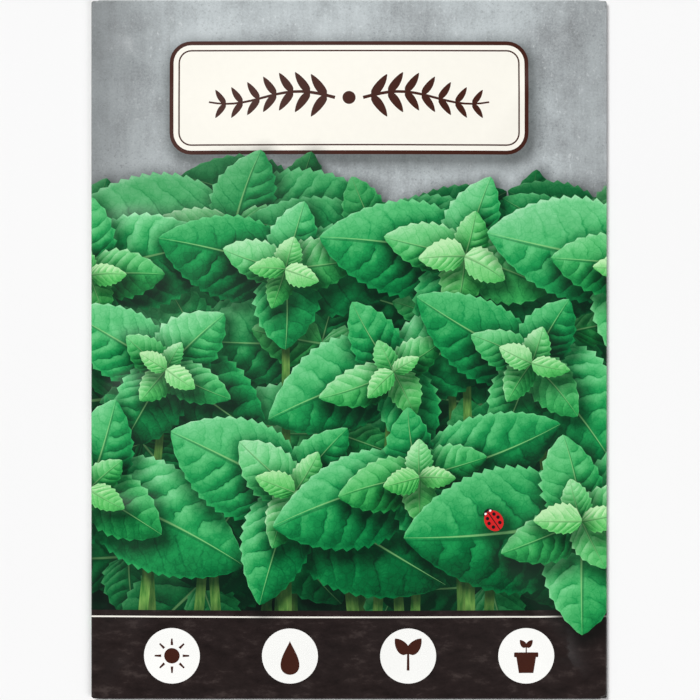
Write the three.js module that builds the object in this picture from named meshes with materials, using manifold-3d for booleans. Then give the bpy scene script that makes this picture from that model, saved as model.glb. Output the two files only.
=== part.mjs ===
// A closed paper seed packet, lying on its back with the printed front up.
// Millimetres, +Z up out of the front, +Y towards the top edge, origin under the middle of the packet.
import * as THREE from "three";
import { mergeVertices } from "three/addons/utils/BufferGeometryUtils.js";
import Module from "manifold-3d";

const wasm = await Module();
wasm.setup();

// Driving dimensions of the folded sheet
const width = 118;
const height = 160;
const paper = 0.15; // coated paper of about 130 g per square metre
const crease = 0.09; // the same paper, pressed thin where it is folded
const layerGap = 0.1; // glue line between two glued layers
const rimInside = 0.3; // clear space between the side lap and the front at the rim
const sideLap = 10; // strip of the front that is turned in behind the back panel
const bottomFlap = 16;
const topFlap = 19;
const flapTaper = 5; // how far each flap narrows from its fold to its free edge
const cornerCut = 2; // the flaps stop this far from the side folds, as the blank is cut
const bulge = 4.6; // how far the filled front stands above its rim
const lowerFullness = 0.22; // how much the lower half is fuller than the middle, and the upper half slacker
const crownFall = 1.4; // 1 would rise at once from the rim, and 2 rises slowly
const pressedRim = 2.4; // flat margin along the folds, inside which the front begins to rise
const frontCells = [12, 18];

// Driving dimensions of the sachet inside
const sachet = { width: 78, height: 104, middleY: -16, web: 0.1, seal: 7, fill: 3.8, clear: 0.12 };
const sachetCells = [12, 14];
const pinking = { pitch: 3, depth: 1.1 }; // zigzag cut of the sachet's ends

// Driving dimensions of the seed
const seed = { length: 2.3, width: 1.6, thickness: 1.35, sides: 5, rings: 3 };
const heap = { middle: [0, -27], pitch: 1.6, radii: [6.7, 3.4], rise: 0.95, clear: 0.12, turnSeed: 20 };
const layerShift = 0.25; // the upper seeds sit over by this share of the pitch
const tipUp = 0.25; // and lean by up to this angle, in radians

// Levels that follow from the layers, from the surface that the packet lies on
const flapLevel = [0, paper];
const backLevel = [flapLevel[1] + layerGap, flapLevel[1] + layerGap + paper];
const lapLevel = [backLevel[1] + layerGap, backLevel[1] + layerGap + paper];
const rimLevel = [lapLevel[1] + rimInside, lapLevel[1] + rimInside + paper];
const sachetFoot = backLevel[1] + sachet.clear;
const sachetBackLevel = [sachetFoot, sachetFoot + sachet.web];
const sachetRimLevel = [sachetBackLevel[1] + layerGap, sachetBackLevel[1] + layerGap + sachet.web];

// Colours and finishes
const finish = (color, roughness, metalness = 0) =>
  new THREE.MeshStandardMaterial({ color, roughness, metalness });
const printedPaper = finish(0x3f9058, 0.45);
const foilPaper = finish(0xd4d3cc, 0.5, 0.1);
const seedCoat = finish(0x2a211c, 0.6);

// A closed geometry as a solid that can be joined and cut; points closer than weld become one
const weld = 1e-4;
function solidOf(geometry) {
  const bare = geometry.index ? geometry.toNonIndexed() : geometry.clone();
  bare.deleteAttribute("normal");
  bare.deleteAttribute("uv");
  const merged = mergeVertices(bare, weld);
  return new wasm.Manifold(
    new wasm.Mesh({
      numProp: 3,
      vertProperties: merged.attributes.position.array,
      triVerts: new Uint32Array(merged.index.array),
    }),
  );
}

function geometryOf(solid) {
  const mesh = solid.getMesh();
  const geometry = new THREE.BufferGeometry();
  geometry.setAttribute("position", new THREE.BufferAttribute(mesh.vertProperties, 3));
  geometry.setIndex(new THREE.BufferAttribute(mesh.triVerts, 1));
  geometry.computeVertexNormals();
  return geometry;
}

const join = (geometries) => geometries.map(solidOf).reduce((whole, piece) => whole.add(piece));

// A flat layer with a straight-sided outline, between two levels
function layer(outline, [low, high]) {
  const shape = new THREE.Shape(outline.map(([x, y]) => new THREE.Vector2(x, y)));
  return new THREE.ExtrudeGeometry(shape, { depth: high - low, bevelEnabled: false }).translate(0, 0, low);
}

const rectangle = (x0, y0, x1, y1) => [[x0, y0], [x1, y0], [x1, y1], [x0, y1]];

// Even steps from one value to another
const steps = (from, to, cells) =>
  Array.from({ length: cells + 1 }, (_, i) => from + ((to - from) * i) / cells);

// A curved layer over a grid of columns xs and rows ys. top(x, y) gives its upper face, and its thickness
// is measured straight down.
function curvedLayer(xs, ys, thickness, top) {
  const across = xs.length;
  const count = across * ys.length;
  const [cellsX, cellsY] = [xs.length - 1, ys.length - 1];
  const points = [];
  for (const drop of [0, thickness])
    for (const y of ys) for (const x of xs) points.push(x, y, top(x, y) - drop);
  const faces = [];
  const quad = (a, b, c, d) => faces.push(a, b, c, a, c, d);
  for (let j = 0; j < cellsY; j++)
    for (let i = 0; i < cellsX; i++) {
      const a = j * across + i;
      const [b, c, d] = [a + 1, a + across + 1, a + across];
      quad(a, b, c, d);
      // the lower face is split along the same diagonal as the upper one
      faces.push(count + a, count + c, count + b, count + a, count + d, count + c);
    }
  const wall = (a, b) => quad(a, a + count, b + count, b);
  for (let i = 0; i < cellsX; i++) {
    wall(i, i + 1);
    wall(count - 1 - i, count - 2 - i);
  }
  for (let j = 0; j < cellsY; j++) {
    wall(j * across + cellsX, (j + 1) * across + cellsX);
    wall((j + 1) * across, j * across);
  }
  const geometry = new THREE.BufferGeometry();
  geometry.setAttribute("position", new THREE.Float32BufferAttribute(points, 3));
  geometry.setIndex(faces);
  return geometry;
}

// A folded edge: a half tube that opens towards +X, with a leg into the middle of each layer that it joins
const foldLeg = 1.2;
const foldSegments = 6;
function foldedEdge(upper, lower, length) {
  const pressed = (paper - crease) / 2;
  const outer = (upper[1] - lower[0]) / 2 - pressed;
  const inner = outer - crease;
  const section = new THREE.Shape();
  section.moveTo(foldLeg, outer);
  section.lineTo(0, outer);
  section.absarc(0, 0, outer, Math.PI / 2, (3 * Math.PI) / 2, false);
  section.lineTo(foldLeg, -outer);
  section.lineTo(foldLeg, -inner);
  section.lineTo(0, -inner);
  section.absarc(0, 0, inner, (3 * Math.PI) / 2, Math.PI / 2, true);
  section.lineTo(foldLeg, inner);
  section.closePath();
  const options = { depth: length, bevelEnabled: false, curveSegments: foldSegments };
  const edge = new THREE.ExtrudeGeometry(section, options);
  return edge.rotateX(Math.PI / 2).translate(outer, length / 2, (upper[1] + lower[0]) / 2);
}

// Height of the front's outer face: flat along the rim, then nearly straight up to a round middle,
// and fullest a little below it
const crown = (s, power) => Math.max(0, 1 - Math.abs(s) ** power) ** crownFall;
function frontHeight(x, y) {
  const alongX = x / (width / 2 - pressedRim);
  const alongY = y / (height / 2 - pressedRim);
  return rimLevel[1] + bulge * crown(alongX, 2) * crown(alongY, 4) * (1 - lowerFullness * alongY);
}

// The folded and glued sheet
function envelope() {
  const [halfX, halfY] = [width / 2, height / 2];
  const rim = 0.6; // the curved front starts this far inside the folded edges
  const gridLine = (half, cells) => [
    rim - half,
    ...steps(pressedRim - half, half - pressedRim, cells),
    half - rim,
  ];
  const [columns, rows] = [gridLine(halfX, frontCells[0]), gridLine(halfY, frontCells[1])];
  const front = curvedLayer(columns, rows, paper, frontHeight);
  const leftEdge = foldedEdge(rimLevel, backLevel, height).translate(-halfX, 0, 0);
  const rightEdge = foldedEdge(rimLevel, lapLevel, height).rotateZ(Math.PI).translate(halfX, 0, 0);
  const flapWidth = width - 2 * cornerCut;
  const bottomEdge = foldedEdge(rimLevel, flapLevel, flapWidth).rotateZ(Math.PI / 2).translate(0, -halfY, 0);
  const topEdge = foldedEdge(rimLevel, flapLevel, flapWidth).rotateZ(-Math.PI / 2).translate(0, halfY, 0);

  const trim = 2 * rim; // cut ends that lie inside a fold
  const back = layer(rectangle(rim - halfX, trim - halfY, halfX - trim, halfY - trim), backLevel);
  const lapEnd = halfY - trim;
  const lap = layer(
    [
      [halfX - rim, -lapEnd],
      [halfX - rim, lapEnd],
      [halfX - sideLap, lapEnd - sideLap / 2],
      [halfX - sideLap, sideLap / 2 - lapEnd],
    ],
    lapLevel,
  );
  const flap = (depth, side) => {
    const [fold, free] = [side * (halfY - rim), side * (halfY - depth)];
    const [foldX, freeX] = [flapWidth / 2, flapWidth / 2 - flapTaper];
    return layer([[-foldX, fold], [foldX, fold], [freeX, free], [-freeX, free]], flapLevel);
  };

  // Glue lines bridge the gap between the layers they hold
  const bite = paper / 3;
  const between = (lower, upper) => [lower[1] - bite, upper[0] + bite];
  const glueInset = 3;
  const flapGlue = (depth, side) => {
    const halfGlue = flapWidth / 2 - flapTaper - glueInset;
    const [y0, y1] = [side * (halfY - glueInset), side * (halfY - depth + glueInset)];
    const corners = rectangle(-halfGlue, Math.min(y0, y1), halfGlue, Math.max(y0, y1));
    return layer(corners, between(flapLevel, backLevel));
  };
  const lapGlueEnd = lapEnd - sideLap;
  const lapGlue = layer(
    rectangle(halfX - sideLap + glueInset / 2, -lapGlueEnd, halfX - glueInset, lapGlueEnd),
    between(backLevel, lapLevel),
  );
  return join([
    front,
    leftEdge,
    rightEdge,
    bottomEdge,
    topEdge,
    back,
    lap,
    flap(bottomFlap, -1),
    flap(topFlap, 1),
    flapGlue(bottomFlap, -1),
    flapGlue(topFlap, 1),
    lapGlue,
  ]);
}

// The two webs of the sachet, sealed to each other round their rim
const sachetBottom = sachet.middleY - sachet.height / 2 + pinking.depth;
const sachetTop = sachet.middleY + sachet.height / 2 - pinking.depth;

// Zigzag points along one end of the sachet, from -X to +X
function pinkedEnd(y, outwards) {
  const points = [];
  for (let i = 0; i <= (2 * sachet.width) / pinking.pitch; i++)
    points.push([(i * pinking.pitch) / 2 - sachet.width / 2, y + (i % 2 ? outwards * pinking.depth : 0)]);
  return points;
}

function sachetBack() {
  const outline = [...pinkedEnd(sachetBottom, -1), ...pinkedEnd(sachetTop, 1).reverse()];
  return solidOf(layer(outline, sachetBackLevel));
}

function sachetFront() {
  const halfX = sachet.width / 2;
  const pocketX = halfX - sachet.seal;
  const pocketY = sachet.height / 2 - sachet.seal;
  const top = (x, y) =>
    sachetRimLevel[1] + sachet.fill * crown(x / pocketX, 2) * crown((y - sachet.middleY) / pocketY, 3);
  const toothRoot = 0.4; // the curved web stops short of the teeth, which are set into its thickness
  const columns = steps(-halfX, halfX, sachetCells[0]);
  const rows = steps(sachetBottom + toothRoot, sachetTop - toothRoot, sachetCells[1]);
  const web = curvedLayer(columns, rows, sachet.web, top);
  const toothLevel = [sachetRimLevel[0] + sachet.web / 4, sachetRimLevel[1] - sachet.web / 4];
  const inset = halfX - toothRoot;
  const teeth = [[sachetBottom, -1], [sachetTop, 1]].map(([y, outwards]) => {
    const root = y - outwards * 4 * toothRoot;
    return layer([...pinkedEnd(y, outwards).slice(1, -1), [inset, root], [-inset, root]], toothLevel);
  });
  return join([web, ...teeth]);
}

// Seeds lie in a loose heap of two layers, each on its own spot of a six-cornered grid, turned at random
const congruence = { multiplier: 1664525, increment: 1013904223, modulus: 2 ** 32 };
function randomFrom(start) {
  let state = start;
  return () => {
    state = (state * congruence.multiplier + congruence.increment) % congruence.modulus;
    return state / congruence.modulus;
  };
}

function seeds() {
  const random = randomFrom(heap.turnSeed);
  const floor = sachetBackLevel[1] + heap.clear;
  const grains = [];
  heap.radii.forEach((radius, level) => {
    const rows = Math.ceil(radius / (heap.pitch * Math.sin(Math.PI / 3)));
    for (let row = -rows; row <= rows; row++)
      for (let column = -rows - 1; column <= rows + 1; column++) {
        const x = (column + (row % 2 ? 1 / 2 : 0) + level * layerShift) * heap.pitch;
        const y = row * heap.pitch * Math.sin(Math.PI / 3);
        const turn = random() * Math.PI;
        const tip = (2 * random() - 1) * tipUp;
        if (Math.hypot(x, y) > radius) continue;
        const grain = new THREE.SphereGeometry(1, seed.sides, seed.rings).rotateZ(Math.PI / 2);
        grain.scale(seed.length / 2, seed.width / 2, seed.thickness / 2);
        grain.rotateY(level * tip).rotateZ(turn);
        const lift = floor + seed.thickness / 2 + level * heap.rise;
        grains.push(grain.translate(heap.middle[0] + x, heap.middle[1] + y, lift));
      }
  });
  const bodies = join(grains).decompose();
  return bodies.reduce((most, body) => (body.volume() > most.volume() ? body : most));
}

// The assembled packet
const packet = new THREE.Group();
function add(name, solid, material) {
  const mesh = new THREE.Mesh(geometryOf(solid), material);
  mesh.name = name;
  packet.add(mesh);
}

add("envelope", envelope(), printedPaper);
add("sachet_back", sachetBack(), foilPaper);
add("sachet_front", sachetFront(), foilPaper);
add("seeds", seeds(), seedCoat);

export default packet;
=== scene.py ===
# A seed packet: one printed sheet of paper, folded and glued flat round a sealed sachet of seeds.
# The sheet is drawn flat, in millimetres, as a printer lays it out, and then folded by a formula.
import math
import bpy
import numpy as np
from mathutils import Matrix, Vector
from mathutils.geometry import delaunay_2d_cdt


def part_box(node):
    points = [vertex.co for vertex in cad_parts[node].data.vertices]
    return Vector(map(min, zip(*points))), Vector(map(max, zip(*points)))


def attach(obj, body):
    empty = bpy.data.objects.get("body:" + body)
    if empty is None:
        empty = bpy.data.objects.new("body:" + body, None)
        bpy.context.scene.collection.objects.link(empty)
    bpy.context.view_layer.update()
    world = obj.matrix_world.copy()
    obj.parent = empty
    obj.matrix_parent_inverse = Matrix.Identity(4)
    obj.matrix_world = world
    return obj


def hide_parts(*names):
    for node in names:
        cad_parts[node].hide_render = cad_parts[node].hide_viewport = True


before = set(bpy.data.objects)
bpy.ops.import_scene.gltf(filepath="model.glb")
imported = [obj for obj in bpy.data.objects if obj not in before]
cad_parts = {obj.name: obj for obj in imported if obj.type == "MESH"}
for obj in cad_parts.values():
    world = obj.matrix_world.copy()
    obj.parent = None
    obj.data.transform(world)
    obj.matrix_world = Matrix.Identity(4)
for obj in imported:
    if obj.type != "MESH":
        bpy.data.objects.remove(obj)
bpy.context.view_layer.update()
mm = 0.001
degree = math.pi / 180
rowRise = 0.866   # a six-sided grid's row height next to its pitch
draw = np.random.default_rng(11)


# Node helpers

class Value:
    # one output socket; the operators below add Math nodes to the same tree
    def __init__(self, look, socket):
        self.look = look
        self.socket = socket

    def maths(self, operation, *others):
        return self.look.maths(operation, self, *others)


operators = {"add": "ADD", "sub": "SUBTRACT", "mul": "MULTIPLY", "truediv": "DIVIDE", "pow": "POWER"}
for name, operation in operators.items():   # the second form has a plain number on the left
    setattr(Value, f"__{name}__", lambda a, b, kind=operation: a.look.maths(kind, a, b))
    setattr(Value, f"__r{name}__", lambda a, b, kind=operation: a.look.maths(kind, b, a))


def paint(red, green, blue):
    # a screen colour from 0 to 255 as linear light
    screen = np.array([red, green, blue]) / 255.0
    linear = np.where(screen <= 0.04045, screen / 12.92, ((screen + 0.055) / 1.055) ** 2.4)
    return (*linear.tolist(), 1.0)


def setStops(ramp, stops):
    while len(ramp.elements) < len(stops):
        ramp.elements.new(1.0)
    for element, (place, colour) in zip(ramp.elements, stops):
        element.position = place
        element.color = colour


class Look:
    # one material; its patterns lie on the flat page, or on the object
    def __init__(self, name, onPage=True):
        self.material = bpy.data.materials.new(name)
        self.material.use_nodes = True
        self.tree = self.material.node_tree
        self.shader = self.tree.nodes["Principled BSDF"]
        self.place = self.attribute("page") if onPage else self.node("TexCoord", {}, {}, out=3)

    def feed(self, socket, value):
        if isinstance(value, Value):
            self.tree.links.new(value.socket, socket)
        else:
            socket.default_value = value

    def node(self, kind, settings, sockets, out=0):
        made = self.tree.nodes.new("ShaderNode" + kind)
        for name, value in settings.items():
            if name == "stops":
                setStops(made.color_ramp, value)
            else:
                setattr(made, name, value)
        for place, value in sockets.items():
            self.feed(made.inputs[place], value)
        return Value(self, made.outputs[out])

    def maths(self, operation, *values):
        return self.node("Math", {"operation": operation}, dict(enumerate(values)))

    def ramp(self, value, *stops):
        # each stop is a place from 0 to 1 and a screen colour
        return self.node("ValToRGB", {"stops": [(place, paint(*rgb)) for place, *rgb in stops]}, {0: value})

    def mix(self, factor, first, second):
        return self.node("Mix", {"data_type": "RGBA"}, {0: factor, 6: first, 7: second}, out=2)

    def attribute(self, name):
        return self.node("Attribute", {"attribute_name": name}, {}, out=1)

    def split(self, name):
        vector = self.attribute(name)
        return [self.node("SeparateXYZ", {}, {0: vector}, out=axis) for axis in range(3)]

    def vector(self, operation, first, second):
        return self.node("VectorMath", {"operation": operation}, {0: first, 1: second})

    def noise(self, scale, detail=3.0, rough=0.55, stretch=None):
        place = self.vector("MULTIPLY", self.place, stretch) if stretch else self.place
        sockets = {"Vector": place, "Scale": scale, "Detail": detail, "Roughness": rough}
        return self.node("TexNoise", {}, sockets)

    def step(self, value, low, high):
        # smooth 0 to 1 as value goes from low to high
        sockets = {0: value, 1: low, 2: high, 3: 0.0, 4: 1.0}
        return self.node("MapRange", {"interpolation_type": "SMOOTHSTEP"}, sockets)

    def finish(self, colour, rough, gloss, relief=None):
        # relief is the height, strength and distance of a Bump node
        sockets = {"Base Color": colour, "Roughness": rough, "Specular IOR Level": gloss}
        if relief:
            sockets["Normal"] = self.node("Bump", {}, dict(zip(("Height", "Strength", "Distance"), relief)))
        for name, value in sockets.items():
            self.feed(self.shader.inputs[name], value)
        return self.material


# Mesh helpers

def unit(vectors):
    # each row at a length of 1
    return vectors / np.linalg.norm(vectors, axis=1, keepdims=True)


def makeMesh(name, places, faces, looks):
    # a smooth mesh from places in millimetres
    mesh = bpy.data.meshes.new(name)
    mesh.from_pydata(places * mm, [], faces)
    mesh.polygons.foreach_set("use_smooth", np.ones(len(faces), bool))
    for look in looks:
        mesh.materials.append(look)
    return mesh


def addAttribute(mesh, name, domain, data):
    made = mesh.attributes.new(name, "FLOAT_VECTOR", domain)
    made.data.foreach_set("vector", np.ascontiguousarray(data, np.float32).ravel())


def addToScene(name, data):
    holder = bpy.data.objects.new(name, data)
    bpy.context.collection.objects.link(holder)
    return holder


def addPiece(mesh, node):
    piece = addToScene(mesh.name, mesh)
    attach(piece, "root")
    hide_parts(node)
    print(mesh.name, "made:", len(mesh.polygons), "faces")


# The folded sheet

boxLow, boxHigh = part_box("envelope")
sheet = {
    "width": (boxHigh.x - boxLow.x) / mm,
    "height": (boxHigh.y - boxLow.y) / mm,
    "paper": 0.15,
    "rimTop": 1.1,   # outer face of the front at the rim
    "backLow": 0.25,   # outer faces of the layers behind it
    "lapLow": 0.5,
    "flapLow": 0,
    "lapReach": 49,   # x of the side lap's free edge
    "backReach": 57.8,   # x of the back panel's free edge
    "backHalf": 78.8,   # half the back panel's height
    "bottomReach": -64,   # y of the flaps' free edges
    "topReach": 61,
    "flapHalf": [57.4, 52],   # half the flaps' width at the fold and at the free edge
    "lapTaper": 6,
    "cornerSteps": [0.2, 0.3, 0.4],   # in from the rim, beside a flap, and on the lap's fold
    "rubWidth": 0.6,   # half the width of the rubbed line along a fold
    "bulge": 4.6,
    "lean": 0.22,   # how much fuller the lower half is
    "crownFall": 1.4,   # how steeply the front leaves its rim
    "pressedRim": 2.4,   # flat margin along the folds
    "sway": 0.08,   # slow waves over the whole front
    # waves along the side folds, and low ridges that run in from the corners
    "ripple": {"height": 0.25, "length": 21, "inset": 5.5, "start": [0.4, 2.9]},
    "crease": {"height": 0.52, "width": 3.4, "length": 13, "slant": 50 * degree, "rise": 7},
}
halfWidth, halfHeight = sheet["width"] / 2, sheet["height"] / 2


def makeFold(axis, side, lowerFace):
    # half a circle across an axis, from the front's rim to the face behind it
    radius = (sheet["rimTop"] - sheet[lowerFace]) / 2
    reach = (halfWidth, halfHeight)[axis] - radius
    return {"axis": axis, "side": side, "radius": radius, "reach": reach, "arc": math.pi * radius}


folds = {"left": makeFold(0, -1, "backLow"), "right": makeFold(0, 1, "lapLow"),
         "bottom": makeFold(1, -1, "flapLow"), "top": makeFold(1, 1, "flapLow")}
foldLeft, foldRight, foldFlap = folds["left"], folds["right"], folds["top"]
panelEdge = -foldLeft["reach"] - foldLeft["arc"] / 2   # crest of the fold between front and back
backMiddle = panelEdge - foldLeft["arc"] / 2 - (sheet["backReach"] + foldLeft["reach"]) / 2


def crown(s, power):
    # 1 in the middle, level and 0 at s = -1 and s = 1
    return np.maximum(0, 1 - np.abs(s) ** power) ** sheet["crownFall"]


def sideRipples(x, y, height, length, inset, start):
    # waves along the side folds: level at the fold, highest just inside it, gone further in
    inside = np.maximum(halfWidth - np.abs(x) - sheet["pressedRim"], 0) / inset
    turn = 2 * math.pi * y / length + np.where(x < 0, *start)
    swing = np.sin(turn + 1.5 * np.sin(0.6 * turn))
    return height * swing * inside * np.exp(1 - inside)


def cornerCreases(x, y, height, width, length, slant, rise):
    # a ridge on a slant from each corner, highest a little way in, flat at the folds
    cos, sin = math.cos(slant), math.sin(slant)
    inX, inY = halfWidth - np.abs(x), halfHeight - np.abs(y)
    along = (inX * cos + inY * sin) / length
    across = (inX * sin - inY * cos) / width
    uneven = 1 + 0.3 * np.sign(x) - 0.25 * np.sign(y) * np.sign(x)
    lift = np.clip((np.minimum(inX, inY) - sheet["pressedRim"]) / rise, 0, 1) ** 2
    return height * uneven * lift * np.exp(-across ** 2) * along * np.exp(1 - along)


def frontHeight(x, y):
    # the rim's level, the swell of the filled middle, and the small waves of slack paper
    u, v = x / (halfWidth - sheet["pressedRim"]), y / (halfHeight - sheet["pressedRim"])
    swell = sheet["bulge"] * crown(u, 2) * crown(v, 4) * (1 - sheet["lean"] * v)
    swayed = sheet["sway"] * np.sin(0.09 * x + 0.05 * y + 1.2) * np.sin(0.07 * y - 0.03 * x)
    waves = crown(v, 8) * (sideRipples(x, y, **sheet["ripple"]) + swayed * crown(u, 8))
    return sheet["rimTop"] + swell + waves + cornerCreases(x, y, **sheet["crease"])


def foldSheet(s, t):
    # flat point to folded place, outer face: past a fold's start half a circle, then straight back
    flat, out, fall = [s, t], [0.0, 0.0], 0.0
    for fold in folds.values():
        axis, side, radius = fold["axis"], fold["side"], fold["radius"]
        run = np.maximum(side * (s, t)[axis] - fold["reach"], 0)
        angle = np.clip(run / radius, 0, math.pi)
        flat[axis] = flat[axis] - side * run
        out[axis] = out[axis] + side * (radius * np.sin(angle) - np.maximum(run - fold["arc"], 0))
        fall = fall + radius * (1 - np.cos(angle))
    return np.stack([flat[0] + out[0], flat[1] + out[1], frontHeight(*flat) - fall], axis=-1)


def sheetNormals(s, t):
    # the cross product of the folded sheet's slopes along s and t
    e = 0.02
    alongS = foldSheet(s + e, t) - foldSheet(s - e, t)
    alongT = foldSheet(s, t + e) - foldSheet(s, t - e)
    return unit(np.cross(alongS, alongT))


def foldRub(flat):
    # 1 along the crest of each fold, fading to 0 beside it
    crests = [np.abs(fold["side"] * flat[:, fold["axis"]] - fold["reach"] - fold["arc"] / 2)
              for fold in folds.values()]
    return np.outer(np.clip(1 - np.min(crests, axis=0) / sheet["rubWidth"], 0, 1), (1, 0, 0))


def blankOutline():
    # the cut edge of the flat sheet, anticlockwise from the bottom flap's right corner
    wide, narrow = sheet["flapHalf"]
    rimStep, flapStep, lapStep = sheet["cornerSteps"]
    left, right, flap = foldLeft["reach"], foldRight["reach"], foldFlap["reach"]
    leftEnd, rightEnd, flapEnd = (fold["reach"] + fold["arc"] for fold in (foldLeft, foldRight, foldFlap))
    lapCut, backCut = rightEnd + right - sheet["lapReach"], -leftEnd - left - sheet["backReach"]
    flapLow, flapHigh = flapEnd + flap + sheet["bottomReach"], flapEnd + flap - sheet["topReach"]
    cut, backHalf = halfHeight - rimStep, sheet["backHalf"]
    lapHalf = backHalf - sheet["lapTaper"]

    def corner(sideX, sideY, side, flapTip):
        # from a flap's free edge to the start of a side fold
        steps = [(narrow, flapTip), (wide, flapEnd), (wide + flapStep, cut), (side, cut)]
        return [(sideX * x, sideY * y) for x, y in steps]

    sideLap = [(rightEnd, lapStep - cut), (lapCut, -lapHalf), (lapCut, lapHalf), (rightEnd, cut - lapStep)]
    backPanel = [(-leftEnd, backHalf), (backCut, backHalf), (backCut, -backHalf), (-leftEnd, -backHalf)]
    return np.array(corner(1, -1, right, flapLow) + sideLap + corner(1, 1, right, flapHigh)[::-1]
                    + corner(-1, 1, left, flapHigh) + backPanel + corner(-1, -1, left, flapLow)[::-1])


# Outlines that the print is made of, each an array of flat points

def axes(turn):
    # unit steps ahead and to the left of a heading
    ahead = np.array([math.cos(turn), math.sin(turn)])
    return ahead, np.array([-ahead[1], ahead[0]])


def ellipse(x, y, wide, high, turn=0.0, points=40):
    # wide and high are half sizes
    a = np.linspace(0, 2 * math.pi, points, endpoint=False)
    ahead, aside = axes(turn)
    return (x, y) + np.outer(wide * np.cos(a), ahead) + np.outer(high * np.sin(a), aside)


def disc(x, y, radius, points=56):
    return ellipse(x, y, radius, radius, points=points)


def box(left, right, low, high):
    return [(left, low), (right, low), (right, high), (left, high)]


def roundedBox(x, y, wide, high, radius, points=8):
    # half sizes, and a quarter circle at each corner
    quarter = np.linspace(0, math.pi / 2, points)
    a = np.concatenate([quarter + k * math.pi / 2 for k in range(4)])
    sideX, sideY = np.repeat([1, -1, -1, 1], points), np.repeat([1, 1, -1, -1], points)
    return np.c_[x + sideX * (wide - radius) + radius * np.cos(a),
                 y + sideY * (high - radius) + radius * np.sin(a)]


def ribbon(path, startWidth, endWidth):
    # a strip along a path that tapers evenly
    path = np.asarray(path, float)
    along = np.gradient(path, axis=0)
    across = unit(np.c_[-along[:, 1], along[:, 0]])
    half = np.linspace(startWidth, endWidth, len(path))[:, None] / 2
    return np.vstack([path + across * half, (path - across * half)[::-1]])


blade = {"rise": 0.5, "fall": 0.8, "toothPitch": 2.5, "fewestTeeth": 7, "toothDepth": 0.5,
         "smoothBase": 0.14, "veins": [4.4, 6.4]}   # fewest and most side veins


def bladeWidth(p):
    # a leaf's half width from base, 0, to tip, 1: quick to widen, slow to close
    rise, fall = blade["rise"], blade["fall"]
    widest = rise / (rise + fall)
    return p ** rise * (1 - p) ** fall / (widest ** rise * (1 - widest) ** fall)


def leafPlaces(leaf, p, b):
    # p along the bent midrib and b across it, in millimetres, to flat places
    ahead, aside = axes(leaf["turn"])
    off = b + leaf["bend"] * leaf["length"] * p ** 2
    return leaf["base"] + np.outer(p * leaf["length"], ahead) + np.outer(off, aside)


def leafMeasures(leaf, places):
    # the other way: p, and b as a share of that half's width
    ahead, aside = axes(leaf["turn"])
    p = (places - leaf["base"]) @ ahead / leaf["length"]
    b = (places - leaf["base"]) @ aside - leaf["bend"] * leaf["length"] * p ** 2
    return p, b / np.where(b > 0, leaf["halves"][0], leaf["halves"][1])


def leafOutline(leaf, toothDepth):
    # both edges of the blade, with forward teeth of an even size past its smooth base
    teeth = max(blade["fewestTeeth"], round(leaf["length"] / blade["toothPitch"]))
    step = np.arange(teeth)
    p = np.sort(np.concatenate([(step + 0.02) / teeth, (step + 0.75) / teeth]))   # dips and points
    tooth = 1 + toothDepth / teeth * np.tile([-1.0, 1.0], teeth) * (p > blade["smoothBase"])
    left = leafPlaces(leaf, p, leaf["halves"][0] * bladeWidth(p) * tooth)
    right = leafPlaces(leaf, p, -leaf["halves"][1] * bladeWidth(p) * tooth)
    ends = leafPlaces(leaf, np.array([0.0, 1.0]), np.zeros(2))
    return np.vstack([ends[:1], right, ends[1:], left[::-1]])


shapes = []   # all that is printed, from the bottom ink to the top one


def finePoints(outline, pitch=2.0):
    # a closed outline with its long edges cut into equal steps
    start = np.asarray(outline, float)
    along = np.roll(start, -1, axis=0) - start
    steps = np.maximum(1, np.ceil(np.linalg.norm(along, axis=1) / pitch)).astype(int)
    edge = np.repeat(np.arange(len(start)), steps)
    share = (np.arange(len(edge)) - np.repeat(np.cumsum(steps) - steps, steps)) / steps[edge]
    return start[edge] + along[edge] * share[:, None]


def printShape(ink, outline, casts=0.0, **more):
    # casts: how strong a drawn shadow it throws on what lies under it
    shapes.append({"ink": ink, "outline": finePoints(outline), "casts": casts, "shade": 1.0, **more})


def printRule(ink, left, right, y, width):
    # a straight line across the page
    printShape(ink, ribbon([(left, y), (right, y)], width, width))


def printLeaf(ink, base, turn, length, halves, bend=0.0, tone=0.5, young=0.0, shade=1.0):
    leaf = {"base": np.array(base), "turn": turn, "length": length, "bend": bend,
            "halves": [length * half for half in halves], "tone": tone, "young": young}
    if ink == "leaf":
        leaf["veins"], leaf["phase"] = draw.uniform(*blade["veins"]), draw.uniform(0, 1)
        printShape(ink, leafOutline(leaf, blade["toothDepth"]), 1.0, leaf=leaf, shade=shade)
    else:
        printShape(ink, leafOutline(leaf, 0.0))


# Herbs in layers

rosette = {
    "shrink": 0.71,   # a pair's length next to that of the pair below
    "slant": [0.34, 0.14],   # how much shorter leaves that point up, or down, are seen
    "scatter": 14,   # degrees
    "lengths": [0.9, 1.1],
    "half": 0.36,   # half a leaf's width next to its length
    "halves": [0.7, 1.06],   # how the two halves differ
    "broad": 1.12,   # how much wider leaves that point steeply up or down are seen
    "steep": 0.6,
    "bend": 0.16,
    "tone": 0.45,
    "toneVary": 0.14,
    "tierTone": 0.07,   # how much paler each pair is than the one below
    "youngFrom": 1.2,   # pairs above this one are a fresh green, more with each pair
    "youngRise": 0.32,
    "youngVary": [-0.1, 0.25],
}
planting = {"start": 0.18, "overhang": 4, "wander": 0.24, "sizes": [0.84, 1.14], "turn": 35}
stem = {"lean": 9, "drop": 34, "width": [2.3, 1.6], "edgeGap": 5, "shade": 0.85, "casts": 0.6}


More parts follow.
